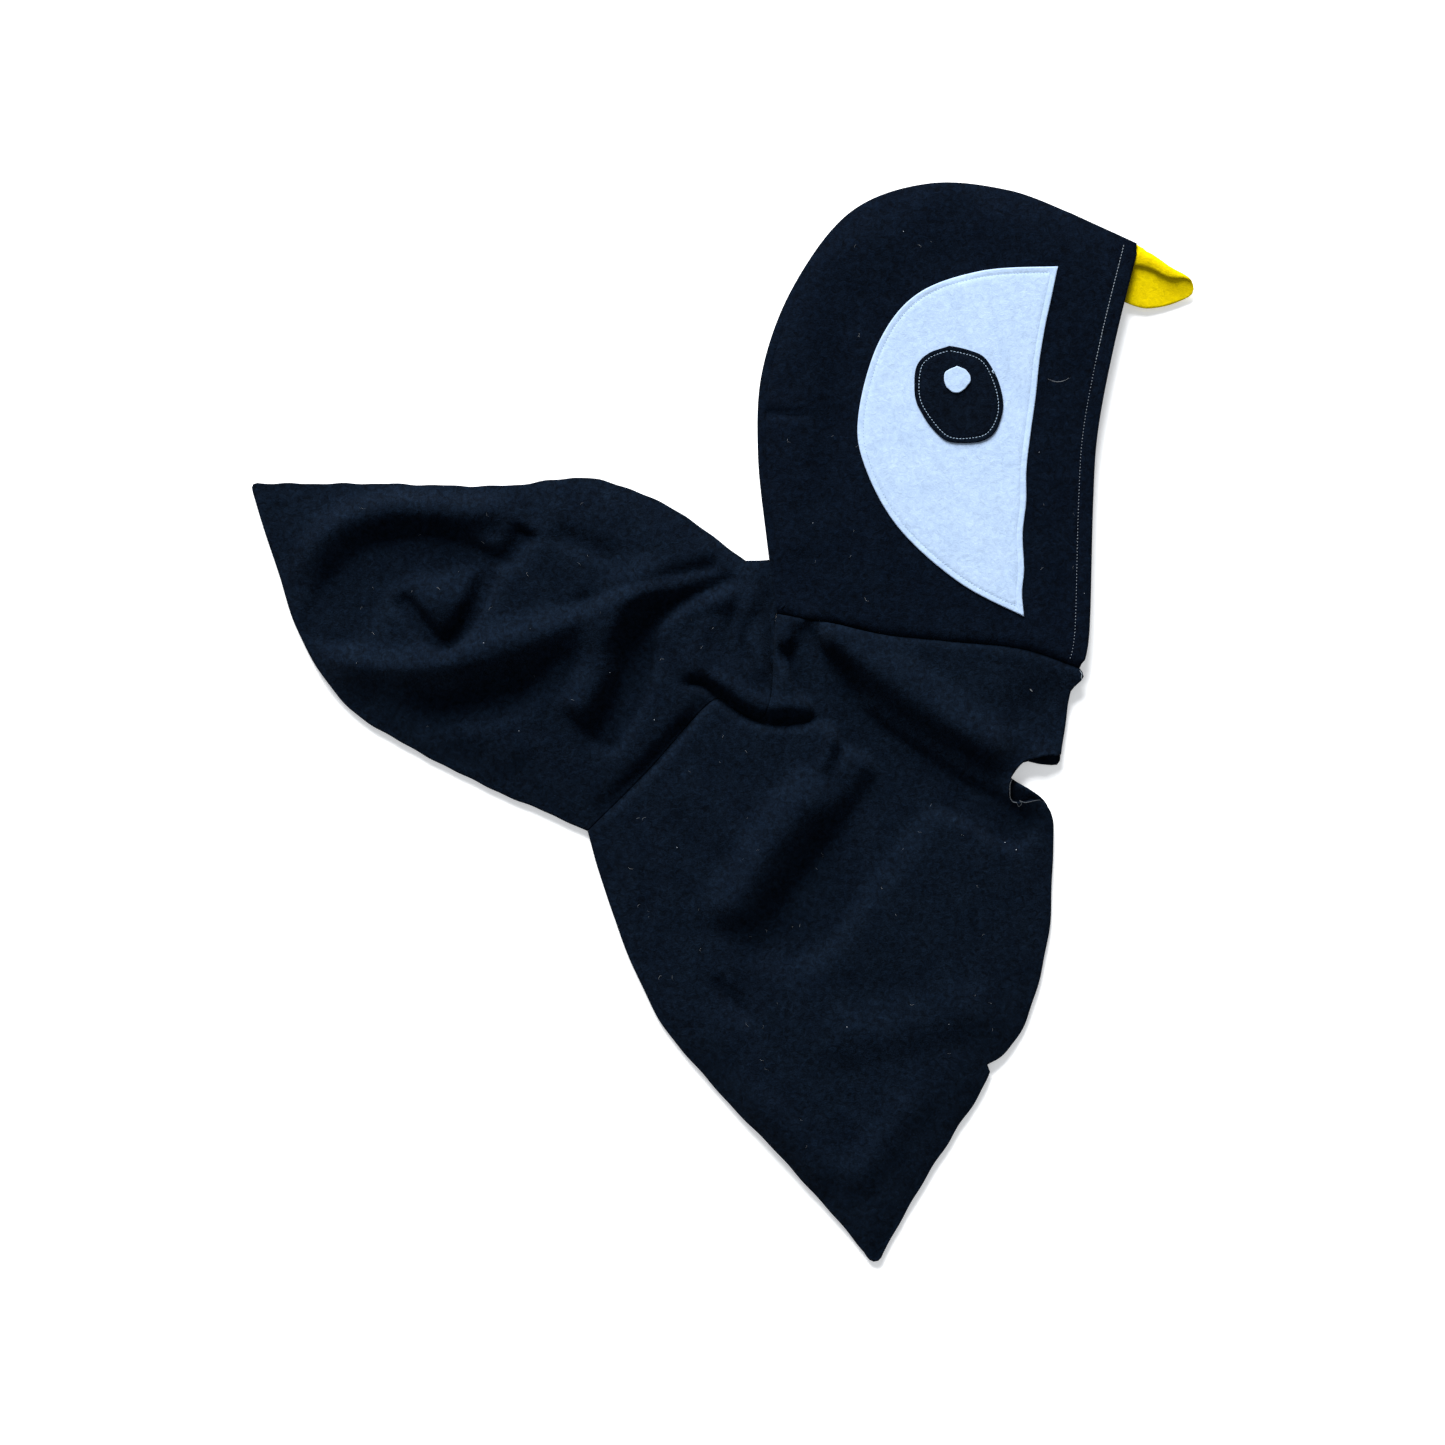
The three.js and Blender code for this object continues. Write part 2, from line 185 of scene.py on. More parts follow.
def beside(line, x, y):
    """For each point, its distance from the line (positive on the left) and how far along it is, 0 to 1."""
    line = np.array(line, float)
    start, step = line[:-1], np.diff(line, axis=0)
    length = np.linalg.norm(step, axis=1)
    reach = np.concatenate([[0], np.cumsum(length)])
    point = np.stack([x, y], axis=-1)[:, None, :] - start[None]
    t = np.clip((point * step).sum(-1) / length**2, 0, 1)
    away = point - t[..., None] * step
    distance = np.hypot(away[..., 0], away[..., 1])
    nearest = distance.argmin(1)
    rows = np.arange(len(nearest))
    left = (step[nearest, 0] * point[rows, nearest, 1] - step[nearest, 1] * point[rows, nearest, 0]) >= 0
    along = (reach[nearest] + t[rows, nearest] * length[nearest]) / reach[-1]
    return np.where(left, 1, -1) * distance[rows, nearest], along


def gap(line, x, y):
    """For each point, how far it is from the line, on either side."""
    return np.abs(beside(line, x, y)[0])


def ease(value, start, end):
    """0 before start, 1 after end, and a smooth rise between them."""
    t = np.clip((value - start) / (end - start), 0, 1)
    return t * t * (3 - 2 * t)


# ==================== heights of the cloth ====================
def fold(x, y, line, rise, left, right, fade=(0.2, 0.2), crisp=0.0):
    """A ridge (or a valley, with rise below 0) along a line, as wide as left and right on its two sides."""
    side, along = beside(smooth(line, 6) if len(line) > 2 else line, x, y)
    q = np.clip(np.abs(side) / np.where(side > 0, left, right), 0, 1)
    soft = 0.5 + 0.5 * np.cos(np.pi * q)
    sharp = (1 - np.sqrt(q * q + 0.004) + 0.0632) ** 2.4
    shape = (1 - crisp) * soft + crisp * np.where(q < 1, sharp, 0)
    start = ease(along, 0, fade[0]) if fade[0] else 1
    end = ease(1 - along, 0, fade[1]) if fade[1] else 1
    return rise * shape * start * end


def dimple(x, y, centre, rise, radius):
    """A round bump or dent."""
    q = np.hypot(x - centre[0], y - centre[1]) / radius
    return rise * np.exp(-q * q)


def hump(x, y, centre, size, steep=1):
    """1 at its centre, falling to 0 past its size in x and in y."""
    q = ((x - centre[0]) / size[0]) ** 2 + ((y - centre[1]) / size[1]) ** 2
    return np.exp(-q ** steep)


def folded(z, x, y, folds):
    """The height z with folds added. A row is what fold() takes, or one point and what dimple() takes."""
    for line, *shape in folds:
        z = z + (dimple(x, y, line[0], *shape) if len(line) == 1 else fold(x, y, line, *shape))
    return z


CROWN_LINE = smooth([NECK_BACK, *CROWN], 5)
CROWN_LINE = np.vstack([CROWN_LINE, [BROW]])
NECK_LINE = smooth([NECK_FRONT, *NECK_SEAM, NECK_BACK], 4)
BACK_LINE = np.vstack([smooth([TAIL_TIP, *TAIL_BACK[::-1]], 4), [CAPE_CORNER], [(31, 110.5)], [NECK_BACK]])
TAIL_HEM_LINE = smooth([TAIL_TIP, *TAIL_HEM, TAIL_ROOT], 4)
WING_HEM_LINE = np.vstack([smooth([TAIL_ROOT, *WING_BACK, WING_TIP], 4),
                           smooth([WING_TIP, *WING_FRONT, *WING_FRONT_TOP], 4)[1:]])
FACE_CURVE = np.vstack([[BROW], smooth([BROW, *FACE_EDGE], 5)[1:]])

# each row: the line of a fold, its rise, its width on the left and right, how its ends fade, how crisp it is
HOOD_FOLDS = [
    ([(150, 366), (154, 335), (156, 296)], -3.0, 24, 22, (0.4, 0.3)),
    ([(72, 322), (82, 270), (76, 200), (72, 130)], -3.2, 24, 20),
    ([(56, 120), (50, 96), (58, 70)], -2.2, 16, 16),
    ([(28, 212), (42, 209.5), (66, 208)], -2.8, 5, 3.5, (0.1, 0.5)),
    ([(232, 150), (238, 110), (232, 70)], -0.7, 16, 14),
    ([(216, 222)], -0.6, 30),
]

# the tail: a raised crest along its middle, and a hollow between that and the centre back
TAIL_FOLDS = [
    ([(12, 104), (-30, 91), (-64, 80), (-102, 68), (-141, 56), (-190, 41), (-232, 38), (-284, 47)],
     6.0, 30, 17, (0.05, 0.12), 0.5),
    ([(-92, 66), (-141, 52), (-190, 37), (-232, 34)], 4.6, 20, 27, (0.3, 0.3)),
    ([(-116, 36), (-160, 10), (-220, 4)], -3.6, 20, 26, (0.2, 0.3)),
    ([(2, 109), (-50, 96), (-100, 80), (-128, 72)], -2.8, 7, 9, (0.1, 0.35), 0.4),
    # the deep gather beside the root of the tail, and the roll next to it
    ([(14, 102), (-26, 84), (-50, 66), (-55, 42), (-61, 16), (-85, -24)], -9.5, 12, 24, (0.1, 0.12), 0.3),
    ([(-46, 60), (-53, 38), (-61, 10), (-82, -20)], -4.0, 12, 22, (0.2, 0.1)),
    ([(-34, 106), (-68, 86), (-80, 60), (-86, 30), (-103, 0)], 6.4, 16, 20, (0.2, 0.1)),
    # the arched hollow, the pocket inside it, and the roll along the centre back above it
    ([(-222, 88), (-208, 66), (-190, 50), (-172, 68), (-154, 106)], -10.5, 14, 9, (0.1, 0.1), 0.2),
    ([(-190, 84)], 3.4, 17),
    ([(-272, 50), (-263, 80), (-246, 104), (-222, 117), (-198, 119), (-176, 111), (-158, 104)],
     -8.6, 23, 40, (0.1, 0.25), 0.15),
    ([(-182, 122), (-163, 112), (-146, 113), (-133, 134)], -5.4, 12, 15, (0.2, 0.08), 0.1),
    ([(-290, 92), (-268, 130), (-226, 146), (-180, 144), (-134, 146)], 5.0, 16, 18),
    ([(-120, 130), (-96, 119), (-66, 108)], -2.2, 16, 10),
    ([(-130, -30), (-160, -8), (-200, 6)], 1.6, 22, 22),
    ([(-240, 80)], -1.5, 16),
]

# the gathers under the neck seam, which the tail and the wing panel share
NECK_FOLDS = [
    ([(43, 76), (42.5, 50), (43, 20), (44, 6)], 3.2, 7, 6, (0, 0.4), 0.3),
    ([(33, 84), (33, 60), (34, 34), (38, 18)], -4.6, 6, 6, (0, 0.3), 0.4),
    ([(50, 68), (70, 46), (90, 20), (84, 0)], -6.0, 13, 12, (0.1, 0.4), 0.2),
    ([(24, 98), (17, 74), (24, 46), (31, 24)], 2.2, 8, 8),
    ([(24, 80), (15, 52), (20, 34)], -1.8, 4, 5, (0.2, 0.2), 0.5),
    ([(8, 82), (3, 56), (8, 36)], -2.0, 6, 6, (0.2, 0.2), 0.4),
    ([(-8, 74), (-16, 52), (-12, 30)], 1.6, 9, 9),
    # the tuck across the top of the tail seam, the roll above it, and the valley down along the seam
    ([(-32, 25), (-16, 26), (-5, 19), (8, 8), (24, 0.5), (46, -1), (76, 4)],
     -5.6, 9, 4.5, (0.12, 0.08), 0.45),
    ([(-20, 36), (2, 26), (26, 12), (50, 11), (72, 12)], 2.4, 9, 7),
    ([(-86, -68), (-50, -32), (-12, 10)], -3.4, 12, 6, (0.3, 0.2)),
]

# the wing: the long valley under the rolled front band, the band itself, and the soft drape below
WING_FOLDS = [
    ([(46, 58), (58, 30), (80, 4), (104, -15), (128, -31), (156, -50), (186, -67), (212, -82)],
     -12, 24, 17, (0.05, 0.1), 0.25),
    ([(66, 66), (112, 30), (156, 0), (202, -27)], 7.6, 26, 20, (0.08, 0.15)),
    ([(76, 4), (73, -14), (66, -40)], 3.4, 8, 7, (0.1, 0.4), 0.4),
    ([(82, 18), (86, -6), (74, -34)], -3.6, 8, 9, (0.2, 0.4), 0.3),
    # the valley that runs down across the wing, and the ridge behind it
    ([(140, -24), (110, -60), (82, -98), (54, -138), (30, -176)], -13, 38, 34, (0.06, 0.3), 0.2),
    ([(74, -34), (48, -64), (22, -100), (-2, -146)], 7.2, 26, 26),
    ([(-57, -94), (-51, -124), (-48, -158)], -1.5, 5, 6, (0.2, 0.4), 0.3),
    ([(-40, -40), (-10, -60), (10, -90)], 1.5, 24, 24),
    ([(8, -190)], -1.8, 12),
    ([(-8, -172), (20, -206)], -1.6, 9, 10),
    ([(104, -186)], -1.8, 26),
    ([(60, -216), (120, -208), (190, -186)], 2.2, 26, 26),
    ([(150, -110)], 1.4, 46),
    ([(40, -270)], 1.0, 34),
    # the rolls along the two lower hems
    ([(84, -322), (116, -276), (146, -236)], 2.4, 20, 20, (0.2, 0.3)),
    ([(10, -238), (48, -284), (80, -320)], 2.0, 18, 20, (0.3, 0.2)),
]


def hood_height(x, y):
    """The middle of the upper hood panel, which rises from an edge lifted at the beak and the nape."""
    from_crown = gap(CROWN_LINE, x, y)
    rim = 1 - (1 - np.clip(from_crown / HOOD_RIM, 0, 1)) ** 2.2
    brow = np.exp(-(np.hypot(x - BROW[0], y - BROW[1]) / 34) ** 2)
    over_cape = 1 - ease(np.hypot(x - NAPE[0], y - NAPE[1]), 24, 46)
    edge = UPPER_EDGE + BROW_LIFT * brow + NAPE_LIFT * over_cape
    return folded(edge + (HOOD_TOP - edge) * rim, x, y, HOOD_FOLDS)


def puckers(side, along):
    """The little waves that stitching draws up on both sides of a seam; both arguments are lengths."""
    wave = np.sin(along / 2.1 + 1.4 * np.sin(along / 7)) + 0.6 * np.sin(along / 3.7 + 2)
    return 0.22 * wave * np.exp(-((np.abs(side) - 3) / 3.5) ** 2)


def neck_groove(x, y):
    """How far the two panels dip into the neck seam."""
    side, along = beside(NECK_LINE, x, y)
    return -2.4 * np.exp(-(side / 2.4) ** 2) + puckers(side, 210 * along)


def hood_surface(x, y):
    """The upper hood panel, pressed in at its seams, beside the back seam and along its hem stitching."""
    z = hood_height(x, y) + neck_groove(x, y)
    back, along = beside(CROWN_LINE, x, y)
    z -= 0.5 * np.exp(-((np.abs(back) - BACK_STITCH) / PRESSED) ** 2) * ease(0.42 - along, 0, 0.05)
    z -= 0.35 * np.exp(-((gap(FACE_CURVE, x, y) - HEM) / PRESSED) ** 2)
    return np.maximum(z, UPPER_EDGE - 0.3)


def cape_base(x, y):
    """The fullness of the upper cape: high at the neck, low along its hems and its centre back."""
    hem = np.minimum(gap(TAIL_HEM_LINE, x, y), gap(WING_HEM_LINE, x, y))
    back = gap(BACK_LINE, x, y)
    neck = gap(NECK_LINE, x, y)
    reach = 36 - 20 * ease(-y, 110, 230)
    puff = 8.5 * (1 - np.exp(-hem / reach)) * (1 - np.exp(-back / 20))
    low = UPPER_EDGE + puff
    near = 1 - ease(neck, 0, 95)
    return low + (hood_height(x, y) - low) * near * (1 - np.exp(-back / 14))


def seam_groove(x, y):
    """How far the wing and the tail panel dip into the seam between them."""
    side, along = beside(smooth(TAIL_SEAM, 6), x, y)
    width = np.where(side > 0, 7.5, 2.4)
    sewn = ease(0.62 - along, 0, 0.1) * ease(along, -0.05, 0.2)
    return (-3.3 * np.exp(-(side / width) ** 2) + puckers(side, 205 * along)) * sewn


def ripple(x, y):
    """The slight unevenness of soft cloth, a few wide waves."""
    return 0.35 * np.sin(x / 23 + 1.3 * np.sin(y / 41)) + 0.3 * np.sin(y / 19 + 1.1 * np.sin(x / 37 + 2))


def cape_surface(x, y):
    """The middle of the upper layer of the cape, kept clear of the layer under it."""
    tail, neck, wing = (folded(0, x, y, folds) for folds in (TAIL_FOLDS, NECK_FOLDS, WING_FOLDS))
    z = cape_base(x, y) + FULLNESS * (tail + neck + wing)
    z += 0.7 * ripple(x, y) + neck_groove(x, y)
    z = UPPER_EDGE + np.logaddexp(0, FLOOR_SOFT * (z - UPPER_EDGE)) / FLOOR_SOFT
    z = np.minimum(z, TOP_SOFT) + TOP_ROOM * (1 - np.exp(-np.maximum(z - TOP_SOFT, 0) / TOP_ROOM))
    return z + seam_groove(x, y) * np.clip((z - UPPER_EDGE) / 3, 0, 1)


# ==================== sheets of felt ====================
def inside(ring, x, y):
    """Which of the points lie inside a closed ring."""
    x1, y1 = ring.T
    x2, y2 = np.roll(ring, -1, axis=0).T
    crosses = (y1 > y[:, None]) != (y2 > y[:, None])
    at = x1 + (y[:, None] - y1) * (x2 - x1) / np.where(y2 == y1, 1, y2 - y1)
    return (crosses & (x[:, None] < at)).sum(1) % 2 == 1


def filled(ring, pitch, creases=()):
    """The points and faces of a flat shape: its ring, two rows inside it, rows along creases, then a grid."""
    closed = looped(ring)
    rows = [ring]
    for share in (0.4, 0.95):
        row = inset(ring, share * pitch)
        rows.append(row[inside(ring, *row.T) & (gap(closed, *row.T) > 0.85 * share * pitch)])
    for line, offsets in creases:
        for offset in offsets:
            row = let_out(even(line, pitch), -offset)
            clear = inside(ring, *row.T) & (gap(closed, *row.T) > 1.25 * pitch)
            rows.append(row[clear & (gap(line, *row.T) > 0.97 * abs(offset))])
    low, high = ring.min(0), ring.max(0)
    x, y = np.meshgrid(np.arange(low[0], high[0], pitch), np.arange(low[1], high[1], pitch))
    x, y = x.ravel(), y.ravel()
    keep = inside(ring, x, y) & (gap(closed, x, y) > 1.5 * pitch)
    for line, offsets in creases:
        side = -beside(line, x, y)[0]
        keep &= (side < min(offsets) - 0.6 * pitch) | (side > max(offsets) + 0.6 * pitch)
    points = np.vstack([*rows, np.stack([x[keep], y[keep]], axis=1)])
    border = [(k, (k + 1) % len(ring)) for k in range(len(ring))]
    found = geometry.delaunay_2d_cdt([Vector(p) for p in points], border, [], 1, 1e-6)
    return points, found[2]


def turned(line, radius):
    """A rule that turns the cloth on the right of a line under, round that radius (over it, below 0)."""
    def place(x, y, height):
        side, _ = beside(line, x, y)
        step = 0.05
        nx = (beside(line, x + step, y)[0] - beside(line, x - step, y)[0]) / (2 * step)
        ny = (beside(line, x, y + step)[0] - beside(line, x, y - step)[0]) / (2 * step)
        past = np.maximum(-side, 0)
        angle = np.minimum(past / abs(radius), math.pi)
        out = abs(radius) * np.sin(angle) - np.maximum(past - math.pi * abs(radius), 0)
        fx, fy = x + nx * past, y + ny * past
        return fx - nx * out, fy - ny * out, height(fx, fy) - radius * (1 - np.cos(angle))
    return place


def laid(x, y, height):
    """The rule for cloth that isn't turned under anywhere."""
    return x, y, height(x, y)


def panel(name, ring, height, cloth, thickness=FELT, pitch=PITCH, place=laid, creases=()):
    """A sheet of felt with a softly rounded cut edge, lying at a height above each of its points."""
    points, faces = filled(ring, pitch, creases)
    edge = len(ring)
    step = 0.25

    def placed(x, y):
        return np.stack(place(x, y, height), axis=1)

    x, y = points.T
    middle = placed(x, y)
    across = placed(x + step, y) - placed(x - step, y)
    normal = unit(np.cross(across, placed(x, y + step) - placed(x, y - step)))
    shift = np.zeros_like(middle)
    shift[:edge] = placed(*inset(ring, 0.22 * thickness).T) - middle[:edge]
    upper = middle + shift + normal * thickness / 2
    lower = middle + shift - normal * thickness / 2
    vertices = np.vstack([upper, lower, middle[:edge]])
    rest = np.vstack([points, points, ring])
    count = len(points)
    rim = 2 * count
    solid = [tuple(f) for f in faces] + [tuple(count + k for k in reversed(f)) for f in faces]
    for k in range(edge):
        n = (k + 1) % edge
        solid.append((k, rim + k, rim + n, n))
        solid.append((rim + k, count + k, count + n, rim + n))
    obj = mesh_object(name, vertices, solid, cloth, rest)
    obj["flat_size"] = [float(v) for v in ring.max(0) - ring.min(0)]
    obj["flat_area"] = float(ring_area(ring))
    return obj


def ring_area(ring):
    """The area inside a ring, below 0 where it runs clockwise."""
    x, y = ring.T
    return 0.5 * (x * np.roll(y, -1) - np.roll(x, -1) * y).sum()


def anticlockwise(ring):
    """The ring, running anticlockwise."""
    return ring if ring_area(ring) > 0 else ring[::-1].copy()


def mesh_object(name, vertices, faces, cloth, rest):
    """A smooth mesh in metres, with its flat resting place kept as the texture coordinates."""
    mesh = bpy.data.meshes.new(name)
    mesh.from_pydata([Vector(v) * MM for v in vertices], [], faces)
    build = bmesh.new()
    build.from_mesh(mesh)
    bmesh.ops.join_triangles(build, faces=[f for f in build.faces if len(f.verts) == 3],
                             angle_face_threshold=0.6, angle_shape_threshold=0.6)
    bmesh.ops.recalc_face_normals(build, faces=build.faces)
    build.to_mesh(mesh)
    build.free()
    mesh.shade_smooth()
    layer = mesh.uv_layers.new(name="rest")
    corner = np.empty(len(mesh.loops), np.int32)
    mesh.loops.foreach_get("vertex_index", corner)
    layer.data.foreach_set("uv", (np.asarray(rest, float)[corner] * MM).astype(np.float32).ravel())
    mesh.materials.append(cloth)
    obj = bpy.data.objects.new(name, mesh)
    bpy.context.scene.collection.objects.link(obj)
    return obj


def strip(name, rows, cloth, thickness):
    """A sheet of felt given by rows of middle points, all of one length, with rounded edges."""
    rows = np.array(rows, float)
    across, along = np.gradient(rows, axis=0), np.gradient(rows, axis=1)
    normal = unit(np.cross(across, along))
    n, m = rows.shape[:2]
    upper, lower = rows + normal * thickness / 2, rows - normal * thickness / 2
    at = np.arange(n * m).reshape(n, m)
    edge = np.concatenate([at[0, :-1], at[:-1, -1], at[-1, :0:-1], at[:0:-1, 0]])
    out = np.zeros_like(rows)
    out[0] -= unit(across[0])
    out[-1] += unit(across[-1])
    out[:, 0] -= unit(along[:, 0])
    out[:, -1] += unit(along[:, -1])
    rim_points = (rows + 0.3 * thickness * out).reshape(-1, 3)[edge]
    vertices = np.vstack([upper.reshape(-1, 3), lower.reshape(-1, 3), rim_points])
    count = n * m
    faces = []
    for i in range(n - 1):
        for j in range(m - 1):
            quad = (at[i, j], at[i + 1, j], at[i + 1, j + 1], at[i, j + 1])
            faces.append(quad)
            faces.append(tuple(count + k for k in reversed(quad)))
    for k, start in enumerate(edge):
        end = edge[(k + 1) % len(edge)]
        rim, rim_end = 2 * count + k, 2 * count + (k + 1) % len(edge)
        faces.append((start, end, rim_end, rim))
        faces.append((rim, rim_end, count + end, count + start))
    obj = mesh_object(name, vertices, faces, cloth, vertices[:, :2] + 0.2 * vertices[:, 2:])
    width = np.linalg.norm(np.diff(rows, axis=0), axis=2).sum(0).mean()
    length = np.linalg.norm(np.diff(rows, axis=1), axis=2).sum(1).mean()
    obj["flat_size"] = [float(width), float(length)]
    obj["flat_area"] = float(width * length)
    return obj


# ==================== stitches ====================
TURNS = np.linspace(0, math.tau, 6, endpoint=False)
ROUND = [(math.cos(turn), math.sin(turn)) for turn in TURNS]      # the section of every thread


def tube_faces(first, stations, sides=len(ROUND)):
    """The faces of a closed tube whose points, ring after ring, start at the first."""
    faces = []
    for j in range(stations - 1):
        for a in range(sides):
            b = (a + 1) % sides
            low, high = first + j * sides, first + (j + 1) * sides
            faces.append((low + a, low + b, high + b, high + a))
    faces.append(tuple(first + a for a in reversed(range(sides))))
    faces.append(tuple(first + (stations - 1) * sides + a for a in range(sides)))
    return faces


def stitches(name, line, height, cloth, share=0.6, radius=THREAD, seed=1, pitch=STITCH, wander=0.12):
    """A row of short stitches along a line, each an arched bit of thread with both ends in the cloth."""
    draw = random.Random(seed)
    reach = lengths(line)
    vertices, faces, rest = [], [], []
    stations = 7
    for k in range(int(reach[-1] / pitch)):
        near = share(k * pitch / reach[-1]) if callable(share) else share
        half = 0.5 * pitch * near * draw.uniform(0.85, 1.1)
        centre = (k + 0.5) * pitch
        lean = draw.uniform(-wander, wander)
        s = np.linspace(centre - half, centre + half, stations)
        x, y = np.interp(s, reach, line[:, 0]), np.interp(s, reach, line[:, 1])
        tx, ty = x[-1] - x[0], y[-1] - y[0]
        size = math.hypot(tx, ty)
        tx, ty = tx / size, ty / size
        across = np.linspace(-lean, lean, stations)
        x, y = x - ty * across, y + tx * across
        arch = np.sin(np.linspace(0, math.pi, stations))
        z = height(x, y) + radius * (2.1 * arch - 0.9)
        thick = radius * (0.62 + 0.38 * arch)
        first = len(vertices)
        for j in range(stations):
            for out, up in thick[j] * np.array(ROUND):
                vertices.append((x[j] - ty * out, y[j] + tx * out, z[j] + up))
                rest.append((x[j] - ty * out, y[j] + tx * out))
        faces += tube_faces(first, stations)
    return mesh_object(name, vertices, faces, cloth, rest)


def fibre(name, path, radius, cloth):
    """One loose fibre: a thin round tube along a path of points, tapering to both ends."""
    path = smooth(path, 6)
    count = len(path)
    along = unit(np.gradient(path, axis=0))
    side = unit(np.cross(along, (0, 0, 1)))
    up = np.cross(side, along)
    thick = radius * (0.35 + 0.65 * np.sin(np.linspace(0, math.pi, count)))
    vertices = []
    for j in range(count):
        for out, rise in ROUND:
            vertices.append(path[j] + thick[j] * (out * side[j] + rise * up[j]))
    vertices = np.array(vertices)
    return mesh_object(name, vertices, tube_faces(0, count), cloth, vertices[:, :2])


# ==================== materials ====================
def node(tree, kind, inputs=(), **settings):
    """Adds a node, sets its properties, and fills its inputs with links or values."""
    made = tree.nodes.new(kind)
    for key, value in settings.items():
        setattr(made, key, value)
    for key, value in dict(inputs).items():
        if isinstance(value, bpy.types.NodeSocket):
            tree.links.new(value, made.inputs[key])
        else:
            made.inputs[key].default_value = value
    return made


def ramp(tree, fac, stops):
    """A colour ramp with the given (position, colour) stops."""
    made = node(tree, "ShaderNodeValToRGB", {"Fac": fac})
    elements = made.color_ramp.elements
    while len(elements) < len(stops):
        elements.new(0.5)
    for element, (at, colour) in zip(elements, stops):
        element.position = at
        element.color = (*colour, 1)
    return made.outputs["Color"]


def new_material(name):
    """A material, its nodes, its shader, and where each point of the cloth lies when it is flat."""
    material = bpy.data.materials.new(name)
    material.use_nodes = True
    tree = material.node_tree
    shader = tree.nodes["Principled BSDF"]
    return material, tree, shader, node(tree, "ShaderNodeUVMap", uv_map="rest").outputs["UV"]


def noise(tree, rest, scale, detail, roughness=0.5, distortion=0.0):
    """Noise that is fixed to the cloth."""
    made = node(tree, "ShaderNodeTexNoise", {"Vector": rest, "Scale": scale, "Detail": detail,
                                             "Roughness": roughness, "Distortion": distortion})
    return made.outputs["Fac"]


def multiplied(tree, first, second):
    """Two colours multiplied."""
    mix = node(tree, "ShaderNodeMix", {0: 1.0, 6: first, 7: second}, data_type="RGBA", blend_type="MULTIPLY")
    return mix.outputs[2]


def compared(tree, operation, first, second):
    """Two numbers put through a sum or a comparison."""
    return node(tree, "ShaderNodeMath", {0: first, 1: second}, operation=operation).outputs[0]


def felt(name, colour, worn, lint, sheen, sheen_tint, relief, grainy):
    """Pressed felt: matted fibres in the relief, a little lighter where it is worn, with specks of lint."""
    material, tree, shader, rest = new_material(name)
    mottle = noise(tree, rest, 55, 4, 0.65)
    fibres = noise(tree, rest, 520, 5, 0.72, 1.6)
    nap = noise(tree, rest, 260, 4, 0.7, 0.8)
    dim, bright = (1 - grainy,) * 3, (1 + grainy,) * 3
    base = ramp(tree, mottle, [(0.3, colour), (0.72, worn)])
    grain = ramp(tree, fibres, [(0.3, dim), (0.7, bright)])
    clump = ramp(tree, nap, [(0.35, dim), (0.65, bright)])
    shade = multiplied(tree, multiplied(tree, base, clump), grain)
    lint_colour, lint_share = lint
    cells = node(tree, "ShaderNodeTexVoronoi", {"Vector": rest, "Scale": 130, "Randomness": 1.0})
    speck = compared(tree, "LESS_THAN", cells.outputs["Distance"], 0.036)
    chosen = node(tree, "ShaderNodeSeparateColor", {"Color": cells.outputs["Color"]}).outputs["Red"]
    rare = compared(tree, "GREATER_THAN", chosen, 1 - lint_share)
    fleck = compared(tree, "MULTIPLY", speck, rare)
    final = node(tree, "ShaderNodeMix", {0: fleck, 6: shade, 7: (*lint_colour, 1)}, data_type="RGBA")
    tree.links.new(final.outputs[2], shader.inputs["Base Color"])
    rough = node(tree, "ShaderNodeMapRange", {"Value": fibres, "To Min": 0.86, "To Max": 1.0}).outputs[0]
    tree.links.new(rough, shader.inputs["Roughness"])
    shader.inputs["Specular IOR Level"].default_value = 0.03
    shader.inputs["Sheen Weight"].default_value = sheen
    shader.inputs["Sheen Roughness"].default_value = 0.45
    shader.inputs["Sheen Tint"].default_value = (*sheen_tint, 1)
    fine = node(tree, "ShaderNodeBump", {"Height": fibres, "Strength": relief, "Distance": 0.0006})
    soft = node(tree, "ShaderNodeBump", {"Height": nap, "Strength": 0.7 * relief, "Distance": 0.0012,
                                        "Normal": fine.outputs[0]})
    tree.links.new(soft.outputs[0], shader.inputs["Normal"])
    return material


def thread_material(name, colour):
    """Twisted sewing thread."""
    material, tree, shader, rest = new_material(name)
    twist = noise(tree, rest, 1800, 2)
    dark = tuple(0.6 * c for c in colour)
    tree.links.new(ramp(tree, twist, [(0.35, dark), (0.65, colour)]), shader.inputs["Base Color"])
    shader.inputs["Roughness"].default_value = 0.7
    shader.inputs["Sheen Weight"].default_value = 0.2
    bump = node(tree, "ShaderNodeBump", {"Height": twist, "Strength": 0.4, "Distance": 0.0002})
    tree.links.new(bump.outputs[0], shader.inputs["Normal"])
    return material


def tape_material(name, colour, hooked):
    """Hook-and-loop tape: rows of hooks, or a tangle of loops."""
    material, tree, shader, rest = new_material(name)
    if hooked:
        pile = node(tree, "ShaderNodeTexVoronoi", {"Vector": rest, "Scale": 900, "Randomness": 0.15})
        height = pile.outputs["Distance"]
    else:
        height = noise(tree, rest, 900, 4, distortion=2.5)
    light = tuple(min(1, 2.2 * c) for c in colour)
    tree.links.new(ramp(tree, height, [(0.25, light), (0.6, colour)]), shader.inputs["Base Color"])
    shader.inputs["Roughness"].default_value = 0.8
    bump = node(tree, "ShaderNodeBump", {"Height": height, "Strength": 0.8, "Distance": 0.0006})
    tree.links.new(bump.outputs[0], shader.inputs["Normal"])
    return material


